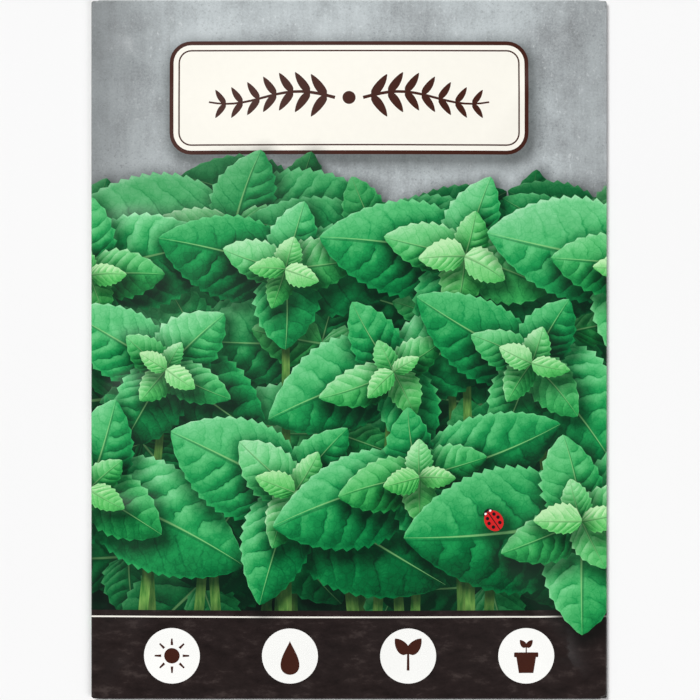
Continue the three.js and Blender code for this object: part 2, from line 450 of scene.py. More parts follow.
def printRosette(centre, size, turn, tiers, shade):
    # pairs of leaves set crosswise, each smaller than the one below, seen slantwise
    for tier in range(tiers):
        scatter = draw.uniform(-rosette["scatter"], rosette["scatter"], 2)
        headings = turn + (90 * tier + np.array([0, 180]) + scatter) * degree
        for heading in sorted(headings, key=lambda h: -math.sin(h)):
            upward = math.sin(heading)
            slant = 1 - rosette["slant"][upward < 0] * abs(upward)
            length = size * rosette["shrink"] ** tier * slant * draw.uniform(*rosette["lengths"])
            broad = rosette["broad"] if abs(upward) > rosette["steep"] else 1.0
            halves = rosette["half"] * draw.uniform(*rosette["halves"], 2) * broad
            tone = rosette["tone"] + rosette["tierTone"] * tier
            tone += draw.uniform(-rosette["toneVary"], rosette["toneVary"])
            young = rosette["youngRise"] * (tier - rosette["youngFrom"])
            young = np.clip(young + draw.uniform(*rosette["youngVary"]), 0, 1)
            bend = draw.uniform(-rosette["bend"], rosette["bend"])
            printLeaf("leaf", centre, heading, length, halves, bend, tone, young, shade)


def layerPlaces(layer, middle):
    # a staggered grid with each place moved a little, from the top row down
    places = []
    for row in range(int((layer["high"] - layer["low"]) / layer["down"]) + 1):
        step = layer["across"], layer["down"]
        first = step[0] * (planting["start"] + 0.5 * (row % 2))
        x = np.arange(first, sheet["width"] + planting["overhang"], step[0])
        wander = draw.uniform(-planting["wander"], planting["wander"], (len(x), 2)) * step
        y = np.full(len(x), layer["high"] - row * layer["down"])
        places.append(np.c_[x + middle - halfWidth, y] + wander)
    return np.vstack(places)


def printLayer(layer, middle, before=lambda: None):
    # all stems, then whatever stands in front of them, then the rosettes
    places = layerPlaces(layer, middle)
    for centre in places[np.abs(places[:, 0] - middle) < halfWidth - stem["edgeGap"]]:
        low = min(centre[1] - stem["drop"], front["stemFoot"])
        foot = centre[0] + draw.uniform(-stem["lean"], stem["lean"]), low
        strip = ribbon(np.linspace(foot, centre, 8), *stem["width"])
        printShape("stem", strip, stem["casts"], shade=layer["shade"] * stem["shade"])
    before()
    for centre in places:
        size = layer["size"] * draw.uniform(*planting["sizes"])
        turn = draw.uniform(-planting["turn"], planting["turn"]) * degree
        printRosette(centre, size, turn, layer["tiers"], layer["shade"])


def printThicket(left, right, top, foot, points, casts, waves):
    # the dark behind the herbs, with a skyline of waves
    x = np.linspace(left, right, points)
    y = top + sum(high * np.sin(pace * x + start) for high, pace, start in waves)
    printShape("thicket", np.vstack([np.c_[x, y], [(right, foot), (left, foot)]]), casts)


# Plain pictures, drawn in shares of their size

def sprout(x, y, size, ink):
    # a short stem with a pair of leaves
    printShape(ink, ribbon([(x, y - size), (x, y + 0.1 * size)], 0.16 * size, 0.12 * size))
    for side in (1, -1):
        printLeaf(ink, (x, y), (90 - side * 48) * degree, 1.15 * size, [0.3, 0.3], 0.12 * side)


def sun(x, y, size, ink):
    printShape(ink, disc(x, y, 0.45 * size, 40))
    for turn in np.arange(8) * 45 * degree:
        ray = (x, y) + np.outer([0.62 * size, size], axes(turn)[0])
        printShape(ink, ribbon(ray, 0.15 * size, 0.09 * size))


def raindrop(x, y, size, ink):
    # a point at the top that swells to a round foot
    a = np.linspace(0, 2 * math.pi, 30, endpoint=False)
    printShape(ink, np.c_[x + 0.78 * size * np.sin(a) * np.sin(a / 2) ** 1.5, y + size * np.cos(a)])


def flowerPot(x, y, size, ink):
    printShape(ink, np.array([(-0.42, -1), (0.42, -1), (0.58, 0), (-0.58, 0)]) * size + (x, y))
    printShape(ink, roundedBox(x, y + 0.06 * size, 0.7 * size, 0.14 * size, 0.05 * size, 3))
    sprout(x, y + 0.5 * size, 0.48 * size, ink)


def printDiscs(middle, y, pitch, radius, size, lifts, rings):
    # a row of discs, each with a picture of its own
    for k, picture in enumerate((sun, raindrop, sprout, flowerPot)):
        x = middle + (k - 1.5) * pitch
        for ink, inset in rings:
            printShape(ink, disc(x, y, radius - inset))
        picture(x, y + lifts[k], size, "brown")


def garland(x, y, ink, seed, near, far, wave, width, leaf, shrink, spread, half, bend):
    # two mirrored twigs from a round seed, with leaf pairs that shrink outwards
    printShape(ink, disc(x, y, seed, 28))
    u = np.linspace(0, 1, 16)
    for side in (1, -1):
        twig = np.c_[x + side * (near + (far - near) * u), y + wave * np.sin(u * 5.5)]
        printShape(ink, ribbon(twig, *width))
        for k in range(1, 15, 2):
            for wing in (1, -1):
                turn = (90 - side * 90 + side * wing * spread) * degree
                printLeaf(ink, twig[k], turn, leaf - shrink * k, [half, half], bend * wing * side)


def printLadybird(x, y, turn, size):
    # head, wing cases, the line between them, spots and eyes
    ahead, aside = axes(turn)

    def dot(ink, along, across, long, wide, points=40, casts=0.0):
        place = (x, y) + (ahead * along + aside * across) * size
        printShape(ink, ellipse(*place, long * size, wide * size, turn, points), casts)

    dot("black", 0.82, 0, 0.42, 0.5, casts=0.8)
    dot("red", 0, 0, 1.0, 0.84, casts=0.8)
    printShape("black", ribbon((x, y) + np.outer([-size, 0.95 * size], ahead), 0.08 * size, 0.1 * size))
    for along, across in ((0.5, 0.36), (0.05, 0.5), (-0.45, 0.36)):
        for side in (1, -1):
            dot("black", along, side * across, 0.17, 0.16, 16)
    for side in (1, -1):
        dot("white", 0.95, side * 0.26, 0.1, 0.12, 12)


# The front's print: herb rosettes under a grey weathered board, with a dark crate edge at the foot

# how far the grounds run, past the cut edge
bleed = {"right": 80, "high": 110, "low": -115, "backLeft": -190, "backHalf": 90}
front = {
    "label": {"y": 57.5, "wide": 41, "high": 13, "radius": 5,
              # ink, how far its edge is set in, and its shadow
              "rings": [("brown", 0, 0.8), ("cream", 0.9, 0), ("brown", 2, 0), ("cream", 2.35, 0)]},
    "garland": {"seed": 1.5, "near": 3.2, "far": 32, "wave": 1.4, "width": [0.75, 0.4],
                "leaf": 6.2, "shrink": 0.17, "spread": 47, "half": 0.17, "bend": 0.12},
    "thicket": {"left": -75, "right": 80, "top": 24, "foot": -70, "points": 50, "casts": 0.7,
                "waves": [(3.5, 0.23, 0), (2.2, 0.61, 1)]},
    "crateTop": -59.5,
    "stemFoot": -64.5,
    "crateLine": {"drop": 1.5, "width": 0.35},
    "discs": {"y": -70, "pitch": 27, "radius": 6.4, "size": 3.968, "lifts": [0, -0.4, 0.6, 0],
              "rings": [("white", 0)]},
    "ladybird": {"x": 33, "y": -39, "turn": 125 * degree, "size": 2.5},
}
layers = [   # from the back: spacing across and down, highest and lowest row, leaf length, shade, leaf tiers
    {"across": 23, "down": 19, "high": 27, "low": -52, "size": 29, "shade": 0.36, "tiers": 2},
    {"across": 29, "down": 24, "high": 24, "low": -46, "size": 33, "shade": 0.72, "tiers": 3},
    {"across": 38, "down": 27, "high": 19, "low": -40, "size": 36, "shade": 1, "tiers": 5},
]


def printFront():
    # the grey board, its label, then the herbs from the back layer to the front one
    printShape("zinc", box(panelEdge, bleed["right"], -bleed["high"], bleed["high"]))
    label = front["label"]
    for ink, inset, casts in label["rings"]:
        wide, high, radius = (label[part] - inset for part in ("wide", "high", "radius"))
        printShape(ink, roundedBox(0, label["y"], wide, high, radius), casts)
    garland(0, label["y"], "brown", **front["garland"])
    printThicket(**front["thicket"])
    for layer in layers[:-1]:
        printLayer(layer, 0)
    printLayer(layers[-1], 0, printCrate)
    printLadybird(**front["ladybird"])


def printCrate():
    # the crate's edge, a pale line along it and the picture discs
    top, line = front["crateTop"], front["crateLine"]
    printShape("slate", box(panelEdge, bleed["right"], bleed["low"], top), 0.9)
    printRule("cream", panelEdge, bleed["right"], top - line["drop"], line["width"])
    printDiscs(0, **front["discs"])


# The back's print: pictures, a sowing calendar, note lines, a badge with a sprig, and a low hedge of herbs

back = {
    "discs": {"y": 46, "pitch": 26, "radius": 8.6, "size": 4.8, "lifts": [0, -0.4, 0.8, 0],
              "rings": [("meadow", 0), ("white", 0.8)]},
    "calendar": {"y": 25, "pitch": 7.5, "drop": 9.6, "half": 3.4, "shift": 6, "line": 0.25,
                 "corners": [0.8, 0.6],   # radii of a box and of its fill
                 "rows": [("meadow", (2, 3, 4)), ("brown", (5, 6, 7, 8))]},   # months that each row fills
    # a sprout and a sprig, left of the calendar's rows
    "signs": {"x": -46, "sprout": 3, "sproutLow": 0.6, "sprigLow": 3, "leaf": 6.2, "halves": [0.2, 0.2],
              "turns": [60, 105, 150]},
    "notes": {"y": -1, "drop": 8, "lines": 4, "left": -50, "right": 8, "width": 0.22},
    "badge": {"x": 33, "y": -14, "radius": 15.5, "leaf": 19, "low": 1.5, "turn": 20 * degree, "tiers": 5,
              "rings": [("meadow", 0), ("white", 0.9), ("mist", 1.5)]},
    "thicket": {"left": -190, "right": -50, "top": -55, "foot": -90, "points": 60, "casts": 0.5,
                "waves": [(1.6, 0.31, 0), (1.1, 0.83, 0)]},
}
hedge = [   # two low herb layers above the back's bottom flap
    {"across": 14, "down": 30, "high": -53, "low": -54, "size": 16, "shade": 0.6, "tiers": 3},
    {"across": 22, "down": 30, "high": -60, "low": -61, "size": 20, "shade": 1, "tiers": 5},
]


def printCalendar():
    # twelve boxes for sowing, beside a sprout, and twelve for picking, beside a sprig
    place, signs = back["calendar"], back["signs"]
    half, inside = place["half"], place["half"] - place["line"]
    outerCorner, innerCorner = place["corners"]
    for row, (ink, months) in enumerate(place["rows"]):
        y = place["y"] - row * place["drop"]
        for month in range(12):
            x = backMiddle + place["shift"] + (month - 5.5) * place["pitch"]
            fill = ink if month in months else "white"
            printShape("brown", roundedBox(x, y, half, half, outerCorner, 4))
            printShape(fill, roundedBox(x, y, inside, inside, innerCorner, 4))
    x = backMiddle + signs["x"]
    sprout(x, place["y"] - signs["sproutLow"], signs["sprout"], "meadow")
    sprigFoot = (x, place["y"] - place["drop"] - signs["sprigLow"])
    for turn in signs["turns"]:
        printLeaf("brown", sprigFoot, turn * degree, signs["leaf"], signs["halves"])


def printBack():
    printShape("pale", box(bleed["backLeft"], panelEdge, -bleed["backHalf"], bleed["backHalf"]))
    printDiscs(backMiddle, **back["discs"])
    printCalendar()
    notes, badge = back["notes"], back["badge"]
    left, right = backMiddle + notes["left"], backMiddle + notes["right"]
    for line in range(notes["lines"]):
        printRule("brown", left, right, notes["y"] - notes["drop"] * line, notes["width"])
    x, y = backMiddle + badge["x"], badge["y"]
    for ink, inset in badge["rings"]:
        printShape(ink, disc(x, y, badge["radius"] - inset, 80))
    printRosette(np.array([x, y - badge["low"]]), badge["leaf"], badge["turn"], badge["tiers"], 1.0)
    printThicket(**back["thicket"])
    for layer in hedge:
        printLayer(layer, backMiddle)


printFront()
frontShapes = len(shapes)   # shapes from here on belong to the back panel
printBack()
print("print laid out:", len(shapes), "shapes")


# The flat sheet as triangles, cut along the edges of everything printed on it

meshing = {"frontPitch": 1.05, "backPitch": 1.6, "insidePitch": 2.2, "foldSteps": 6, "foldPitch": 2,
           "weld": 0.002, "overlap": 2}   # overlap is how far the coarse grid stays off the front
blank = blankOutline()


def insideOutline(places, outline):
    # a place is inside where a ray to its right meets the outline an odd number of times
    x, y = places[:, :1], places[:, 1:]
    a, b = outline, np.roll(outline, -1, axis=0)
    spans = (a[:, 1] > y) != (b[:, 1] > y)
    rise = np.where(b[:, 1] == a[:, 1], 1.0, b[:, 1] - a[:, 1])
    meets = a[:, 0] + (y - a[:, 1]) * (b[:, 0] - a[:, 0]) / rise
    return (spans & (x < meets)).sum(1) % 2 == 1


def edgeDistance(places, outline):
    # shortest way from each place to the outline's edges
    along = np.roll(outline, -1, axis=0) - outline
    square = np.maximum((along ** 2).sum(1), 1e-9)
    rel = places[:, None, :] - outline
    share = np.clip((rel * along).sum(2) / square, 0, 1)
    return np.sqrt(((rel - share[..., None] * along) ** 2).sum(2)).min(1)


def extent(outline, margin=0.0):
    return outline.min(0) - margin, outline.max(0) + margin


def nearBox(places, low, high):
    return np.nonzero(((places >= low) & (places <= high)).all(1))[0]


def hiddenPlaces(places, order):
    # places that a later shape of the same panel covers
    hidden = np.zeros(len(places), bool)
    if not len(places):
        return hidden
    low, high = extent(places)
    last = frontShapes if order < frontShapes else len(shapes)
    for shape in shapes[order + 1:last]:
        shapeLow, shapeHigh = extent(shape["outline"])
        if (shapeLow <= high).all() and (shapeHigh >= low).all():
            hidden |= insideOutline(places, shape["outline"])
    return hidden


def gridPlaces(low, high, pitch):
    # an even grid with every second row set over by half a pitch
    x = np.arange(low[0] + pitch / 2, high[0], pitch)
    y = np.arange(low[1] + pitch / 2, high[1], pitch * rowRise)
    gx, gy = np.meshgrid(x, y)
    gx = gx + pitch / 2 * (np.arange(len(y)) % 2)[:, None]
    return np.c_[gx.ravel(), gy.ravel()]


def blankGrid(pitch):
    # such a grid over the whole sheet, inside its cut edge
    grid = gridPlaces(*extent(blank), pitch)
    return grid[insideOutline(grid, blank)]


def lineEdges(line, closed=False):
    ends = np.arange(len(line) if closed else len(line) - 1)
    return np.c_[ends, (ends + 1) % len(line)]


def foldLines():
    # straight lines along each fold, one for each step of its turn, with their edges
    lines = []
    for fold in folds.values():
        half = (halfHeight, halfWidth)[fold["axis"]]
        run = np.arange(-half, half, meshing["foldPitch"])
        for turn in np.linspace(0, 1, meshing["foldSteps"] + 1):
            across = np.full(len(run), fold["side"] * (fold["reach"] + turn * fold["arc"]))
            line = np.stack([run, across] if fold["axis"] else [across, run], 1)
            line = line[insideOutline(line, blank)]
            lines.append((line, lineEdges(line)))
    return lines


def triangulate(lines, loose):
    # lines are points with the edges to keep; what lies outside the cut edge is dropped
    points = np.vstack([line for line, _ in lines] + [loose])
    starts = np.cumsum([0] + [len(line) for line, _ in lines])
    edges = np.vstack([pairs + start for (_, pairs), start in zip(lines, starts)])
    corners = [Vector(p) for p in points.tolist()]
    made = delaunay_2d_cdt(corners, edges.tolist(), [], 0, meshing["weld"], True)
    places, faces, origins = np.array([tuple(p) for p in made[0]]), np.array(made[2]), made[3]
    faces = faces[insideOutline(places[faces].mean(1), blank)]
    used, faces = np.unique(faces, return_inverse=True)
    home = np.zeros(len(points), int)   # where each given point ended up
    for place, given in enumerate(origins):
        home[given] = place
    return places[used], faces.reshape(-1, 3), np.searchsorted(used, home)


def printedFace():
    # the outer face, cut along every edge and rib of the print that shows
    lines = [(blank, lineEdges(blank, True))] + foldLines()
    for order, shape in enumerate(shapes):
        drawn = [(shape["outline"], True)]
        if shape["ink"] == "leaf":
            drawn.append((leafPlaces(shape["leaf"], np.linspace(0, 1, 10), np.zeros(10)), False))
        for line, closed in drawn:
            pairs = lineEdges(line, closed)
            hidden = hiddenPlaces(line, order)[pairs].all(1)
            hidden[hidden] = hiddenPlaces(line[pairs[hidden]].mean(1), order)
            lines.append((line, pairs[~hidden]))
    low, high = np.array([(-foldLeft["reach"], -foldFlap["reach"]), (foldRight["reach"], foldFlap["reach"])])
    loose = blankGrid(meshing["backPitch"])
    outside = ((loose < low - meshing["overlap"]) | (loose > high + meshing["overlap"])).any(1)
    return triangulate(lines, np.vstack([loose[outside], gridPlaces(low, high, meshing["frontPitch"])]))[:2]


def rimEdges(faces):
    # edges that only one face has, in that face's own direction
    edges = np.vstack([faces[:, [0, 1]], faces[:, [1, 2]], faces[:, [2, 0]]])
    _, first, times = np.unique(np.sort(edges, axis=1), axis=0, return_index=True, return_counts=True)
    return edges[first[times == 1]]


def paintFaces(places, faces):
    # the last shape over a face's middle owns the face
    centres = places[faces].mean(1)
    owner = np.zeros(len(faces), int)
    for order, shape in enumerate(shapes):
        near = nearBox(centres, *extent(shape["outline"]))
        near = near[(centres[near, 0] > panelEdge) == (order < frontShapes)]
        owner[near[insideOutline(centres[near], shape["outline"])]] = order
    return owner


light = {"from": np.array([-0.5, 0.866]), "drop": 1.6, "soft": 4.2, "depth": 0.86}   # drawn into the print


def printShadows(places, owner):
    # each corner's depth in the shadow of shapes printed over its own: full under them, soft beside
    shadow = np.zeros(len(places))
    moved = places + light["from"] * light["drop"]
    for order, shape in enumerate(shapes):
        if shape["casts"]:
            near = nearBox(moved, *extent(shape["outline"], light["soft"]))
            near = near[(owner[near] < order) & ((owner[near] < frontShapes) == (order < frontShapes))]
            away = edgeDistance(moved[near], shape["outline"])
            away[insideOutline(moved[near], shape["outline"])] = 0
            cast = shape["casts"] * np.clip(1 - away / light["soft"], 0, 1) ** 1.5
            shadow[near] = np.maximum(shadow[near], cast)
    return shadow


def leafAttributes(places, owner):
    # for each corner: its place on its leaf, the drawn light there, and the leaf's tint
    where, lit, tint = np.zeros((3, len(places), 3))
    shades = np.array([shape["shade"] for shape in shapes])
    lit[:, 2] = shades[owner] * (1 - light["depth"] * printShadows(places, owner))
    for order in np.unique(owner):
        leaf = shapes[order].get("leaf")
        if leaf:
            mine = owner == order
            p, q = leafMeasures(leaf, places[mine])
            where[mine] = np.c_[p, q, np.full(len(p), leaf["phase"])]
            lit[mine, :2] = [light["from"] @ axis for axis in axes(leaf["turn"])]
            tint[mine] = leaf["tone"], leaf["young"], leaf["veins"]
    return {"blade": where, "glow": lit, "tint": tint}


flatPlaces, flatFaces = printedFace()
faceOwner = paintFaces(flatPlaces, flatFaces)
cornerPlaces = flatPlaces[flatFaces].reshape(-1, 2)
cornerData = leafAttributes(cornerPlaces, np.repeat(faceOwner, 3))
print("sheet cut:", len(flatPlaces), "points,", len(flatFaces), "faces")


# Inks and papers

satin = {"rough": 0.31, "roughVary": 0.1, "fibre": 0.0000035, "tooth": 0.05, "gloss": 0.31,
         "worn": 0.6, "wornRough": 0.25}
leafPaint = {
    "sweep": 0.36,   # how far forward the side veins run
    "wobble": 0.12,
    "arch": 0.31,   # light across the blade and along it
    "length": 0.44,
    "pillow": 0.14,   # light on the fields between veins
    "hollow": 0.15,   # dark in the side veins and in the fine net
    "net": 0.055,
    "rim": 0.12,
    "dim": 0.25,   # how much the drawn shadow darkens the tone, and the ink
    "shadow": 0.84,
}


def paperFinish(look, colour, dark, depth=1.0):
    # satin coated paper: drawn shadow, fibre relief, uneven gloss, and ink rubbed off along the folds
    shade = look.split("glow")[2]
    fibre = look.noise(3.2, 4, 0.65, (1, 0.45, 1))
    cloud = look.noise(0.12)
    rub = look.split("rub")[0]
    worn = look.step(rub + (look.noise(0.9, 4, 0.7) - 0.5) * 1.1, 0.95, 1.25)
    uneven = (cloud - 0.5) * satin["roughVary"] + (fibre - 0.5) * satin["tooth"]
    colour = look.mix((1 - shade) * depth, colour, dark)
    colour = look.mix(worn * satin["worn"], colour, paint(226, 226, 220))
    rough = satin["rough"] + uneven + worn * satin["wornRough"]
    return look.finish(colour, rough, satin["gloss"], (fibre, 0.35, satin["fibre"]))


def leafInk():
    look = Look("leafInk")
    p, q, phase = look.split("blade")
    ahead, aside, shade = look.split("glow")
    tone, young, veins = look.split("tint")
    p = p.maths("MAXIMUM", 0.001).maths("MINIMUM", 0.999)
    arch = (q / bladeWidth(p).maths("MAXIMUM", 0.03)).maths("MAXIMUM", -1.0).maths("MINIMUM", 1.0)
    out = arch.maths("ABSOLUTE")
    side = arch.maths("SIGN")
    # side veins leave the midrib and sweep forward to the edge
    sweep = leafPaint["sweep"]
    wobble = (look.noise(0.25, 2) - 0.5) * leafPaint["wobble"]
    root = (p - sweep * out ** 1.25 + wobble) / (1 - sweep * out)
    cell = (root * veins + side * 0.17 + phase + 3.0).maths("FRACT")
    veinGap = 0.5 - (cell - 0.5).maths("ABSOLUTE")
    fade = look.step(out, 0.0, 0.25) * (1 - out ** 4) * (1 - p ** 3)
    # each field between veins is a small pillow, lit from the drawn light's side
    pillow = (cell * math.pi).maths("COSINE") * (side * aside - ahead) * fade * leafPaint["pillow"]
    hollow = look.step(veinGap, 0.09, 0.0) * fade * leafPaint["hollow"]
    body = aside * arch * leafPaint["arch"] + ahead * (p - 0.42) * leafPaint["length"]
    mottle = (look.noise(0.4) - 0.5) * 0.3 + (look.noise(2.6, 3, 0.6) - 0.5) * 0.15
    # a net of fine veins between the side veins
    warped = look.vector("ADD", look.place, look.noise(0.7, 2))
    cells = look.node("TexVoronoi", {"feature": "DISTANCE_TO_EDGE"}, {"Vector": warped, "Scale": 0.62})
    net = look.step(cells, 0.1, 0.01) * leafPaint["net"]
    rim = look.step(out, 0.9, 1) * leafPaint["rim"]
    lit = tone + body + pillow + mottle + rim - hollow - net - (1 - shade) * leafPaint["dim"]
    grown = look.ramp(lit, (0.02, 0, 54, 28), (0.25, 0, 104, 52), (0.45, 24, 146, 76), (0.64, 76, 180, 108),
                      (0.82, 112, 200, 136), (1.0, 158, 220, 172))
    fresh = look.ramp(lit, (0.02, 8, 72, 24), (0.28, 28, 134, 56), (0.5, 80, 182, 90), (0.74, 126, 206, 126),
                      (1.0, 184, 230, 172))
    colour = look.mix(young, grown, fresh)
    # the midrib is a pale groove with a dark side
    rib = look.step(q.maths("ABSOLUTE") / (1.05 - p), 0.05, 0.015)
    ribDark = look.step((q + aside * 0.05).maths("ABSOLUTE") / (1.05 - p), 0.11, 0.04)
    colour = look.mix(ribDark * 0.5, colour, paint(0, 84, 40))
    colour = look.mix(rib * 0.7, colour, paint(140, 206, 130))
    return paperFinish(look, colour, paint(0, 20, 12), leafPaint["shadow"])


def grainInk(name, dark, grain, *tones):
    # one noise, from its dark tone to its light one
    look = Look(name)
    return paperFinish(look, look.ramp(look.noise(*grain), *tones), paint(*dark))


def zincInk():
    # a weathered grey board: clouds, upright streaks, dark specks and pale flecks
    look = Look("zincInk")
    cloud = look.noise(0.05, 6, 0.62)
    streak = look.noise(0.6, 4, 0.6, (1, 0.12, 1))
    grain = look.noise(2.1, 3, 0.8)
    worn = look.step(look.noise(0.08, 4), 0.4, 0.66)
    specks = look.step(look.noise(1.3, 4, 0.8), 0.53, 0.66) * (worn * 0.8 + 0.2)
    flecks = look.step(look.noise(1, 4, 0.75, (1, 0.6, 1)), 0.56, 0.7) * (1 - worn * 0.7)
    value = cloud * 0.95 + streak * 0.24 + grain * 0.42 - 0.32
    colour = look.ramp(value, (0.14, 108, 111, 112), (0.34, 150, 155, 157), (0.52, 179, 186, 188),
                       (0.8, 206, 213, 215))
    colour = look.mix(specks * 0.5, colour, paint(98, 101, 103))
    colour = look.mix(flecks * 0.55, colour, paint(220, 225, 226))
    across = look.split("page")[0]
    colour = look.mix(look.step(across, -34, -60) * 0.6, colour, paint(96, 98, 99))
    colour = look.mix(look.step(across, 42, 60) * 0.3, colour, paint(112, 114, 115))
    return paperFinish(look, colour, paint(46, 52, 50))


def flatInk(name, screen, uneven):
    # one plain printed colour with a slight unevenness
    look = Look(name)
    colour = paint(*screen)
    darker = (*[c * (1 - uneven) for c in colour[:3]], 1.0)
    return paperFinish(look, look.mix(look.noise(0.5, 4, 0.6), darker, colour), paint(20, 22, 18))


def barePaper():
    # uncoated inner face and cut edges
    look = Look("barePaper")
    fibre = look.noise(2.4, 5, 0.7, (1, 0.4, 1))
    colour = look.ramp(fibre, (0.3, 222, 219, 209), (0.7, 240, 238, 231))
    return look.finish(colour, 0.72 + fibre * 0.12, 0.3, (fibre, 0.5, 0.00001))


flatInks = {   # screen colour and unevenness
    "cream": [(243, 240, 230), 0.05], "brown": [(66, 30, 20), 0.2], "white": [(247, 247, 244), 0.03],
    "red": [(214, 32, 34), 0.2], "black": [(22, 18, 18), 0.2], "pale": [(226, 229, 224), 0.06],
    "meadow": [(70, 150, 86), 0.25], "mist": [(198, 222, 200), 0.08],
}
inks = {
    "leaf": leafInk(),
    "stem": grainInk("stemInk", (2, 30, 17), (1.3, 3, 0.55, (1, 0.15, 1)),
                     (0.3, 62, 130, 52), (0.7, 136, 186, 92)),
    "thicket": grainInk("thicketInk", (1, 14, 9), (0.16, 4, 0.6, (1, 0.7, 1)),
                        (0.35, 3, 22, 14), (0.55, 8, 46, 28), (0.75, 20, 84, 48)),
    "zinc": zincInk(),
    "slate": grainInk("slateInk", (10, 10, 8), (0.3, 6, 0.72, (0.5, 1, 1)),
                      (0.3, 22, 15, 14), (0.55, 38, 29, 28), (0.78, 72, 62, 59)),
    **{name: flatInk(name + "Ink", *settings) for name, settings in flatInks.items()},
    "bare": barePaper(),
}


# The folded sheet's mesh

bakeMap = {"backScale": 0.55, "margin": 0.8, "spareAcross": [2, 60], "spareUp": [82, 96]}


def onBakeMap(s, t):
    # flat places on a unit square, with the back panel drawn narrower than the front
    low, high = extent(blank, bakeMap["margin"])
    past = s - panelEdge
    u = np.where(past < 0, past * bakeMap["backScale"], past) - (low[0] - panelEdge) * bakeMap["backScale"]
    return np.c_[u, t - low[1]] / (high[1] - low[1])


def onSpareMap(across, up, side):
    # shares from 0 to 1 to the empty corner above or below the back panel
    near, far = bakeMap["spareAcross"]
    low, high = bakeMap["spareUp"]
    s = panelEdge - (near + (far - near) * across) / bakeMap["backScale"]
    return onBakeMap(s, side * (low + (high - low) * up))


def wallShares(count):
    # the wall's two triangles for each rim edge, laid out in a row
    start = np.arange(count) / count
    end = start + 1 / count
    low, high = np.zeros(count), np.ones(count)
    lower, upper = [end, low, start, low, start, high], [end, low, start, high, end, high]
    return np.vstack([np.stack(lower, 1), np.stack(upper, 1)]).reshape(-1, 2)


def buildSheet():
    # the outer face, an inner face set in by the paper's thickness, and a wall along every cut edge
    rim = rimEdges(flatFaces)
    rimPoints, rimPairs = np.unique(rim, return_inverse=True)
    rimPairs = rimPairs.reshape(-1, 2)
    lines = [(flatPlaces[rimPoints], rimPairs)] + foldLines()
    insidePlaces, insideFaces, home = triangulate(lines, blankGrid(meshing["insidePitch"]))
    insideFaces = insideFaces[:, ::-1]
    count = len(flatPlaces)
    a, b = rim.T
    innerA, innerB = home[rimPairs].T + count
    wall = np.vstack([np.c_[b, a, innerA], np.c_[b, innerA, innerB]])
    papers = np.vstack([flatFaces, insideFaces + count])
    faces = np.vstack([papers, wall])
    flat = np.vstack([flatPlaces, insidePlaces])
    normals = sheetNormals(*flat.T)
    normals[count:] *= -1
    places = foldSheet(*flat.T)
    places[count:] += normals[count:] * sheet["paper"]
    mesh = makeMesh("folded_sheet", places, faces.tolist(), inks.values())
    names = list(inks)
    slots = np.full(len(faces), names.index("bare"))
    slots[:len(flatFaces)] = np.array([names.index(shape["ink"]) for shape in shapes])[faceOwner]
    mesh.polygons.foreach_set("material_index", slots)
    addAttribute(mesh, "page", "POINT", np.insert(flat, 2, 0.0, axis=1))
    addAttribute(mesh, "rub", "POINT", foldRub(flat))
    for name, data in cornerData.items():
        addAttribute(mesh, name, "CORNER", np.pad(data, ((0, 3 * len(faces) - len(data)), (0, 0))))
    wallNormals = unit(np.cross(places[innerA] - places[a], places[b] - places[a]))
    wallCorners = np.repeat(np.tile(wallNormals, (2, 1)), 3, axis=0)
    mesh.normals_split_custom_set(np.vstack([normals[papers].reshape(-1, 3), wallCorners]).tolist())
    share = (insidePlaces - blank.min(0)) / np.ptp(blank, axis=0)
    corners = np.vstack([onBakeMap(*cornerPlaces.T),
                         onSpareMap(*share[insideFaces].reshape(-1, 2).T, 1),
                         onSpareMap(*wallShares(len(rim)).T, -1)])
    mesh.uv_layers.new(name="OFBake").uv.foreach_set("vector", corners.astype(np.float32).ravel())
    addPiece(mesh, "envelope")


buildSheet()


# The sachet inside: two heat-sealed webs of foil-lined paper

sachetLow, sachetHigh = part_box("sachet_front")
sachet = {
    "halfWidth": (sachetHigh.x - sachetLow.x) / mm / 2,
    "low": sachetLow.y / mm,
    "high": sachetHigh.y / mm,
    "web": 0.1,
    "seal": 7,
    "fill": 3.8,
    "pucker": 0.25,
    "backTop": 0.62,   # upper faces of the back web and of the front web's seal
    "frontTop": 0.82,
    "rib": {"pitch": 2, "height": 0.045, "gap": 0.5},   # gap between the last rib and the pocket
    "tooth": {"pitch": 3, "depth": 1.1, "reach": 2.5},
    "pitch": [0.5, 0.5, 1.6],   # grid steps across, along the seals, and along the pocket
}
sachetMiddle = (sachet["low"] + sachet["high"]) / 2


def sachetGrid():
    # even columns, and rows that are close in the two end seals
    across, sealStep, pocketStep = sachet["pitch"]
    half, low, high, seal = (sachet[part] for part in ("halfWidth", "low", "high", "seal"))
    x = np.linspace(-half, half, round(2 * half / across) + 1)
    ends = round(seal / sealStep)
    y = np.concatenate([np.linspace(low, low + seal, ends, endpoint=False),
                        np.linspace(low + seal, high - seal, round((high - low - 2 * seal) / pocketStep)),
                        np.linspace(high - seal, high, ends + 1)[1:]])
    return np.meshgrid(x, y)


def endGap(y):
    return np.minimum(y - sachet["low"], sachet["high"] - y)


def sachetRibs(x, y, pitch, height, gap):
    # low waves across each seal, level in the pocket
    ribbed, endways = sachet["seal"] - gap, endGap(y)
    run = np.where(endways < ribbed, endways, sachet["halfWidth"] - np.abs(x))
    return height * np.cos(2 * math.pi * run / pitch) * (run < ribbed)


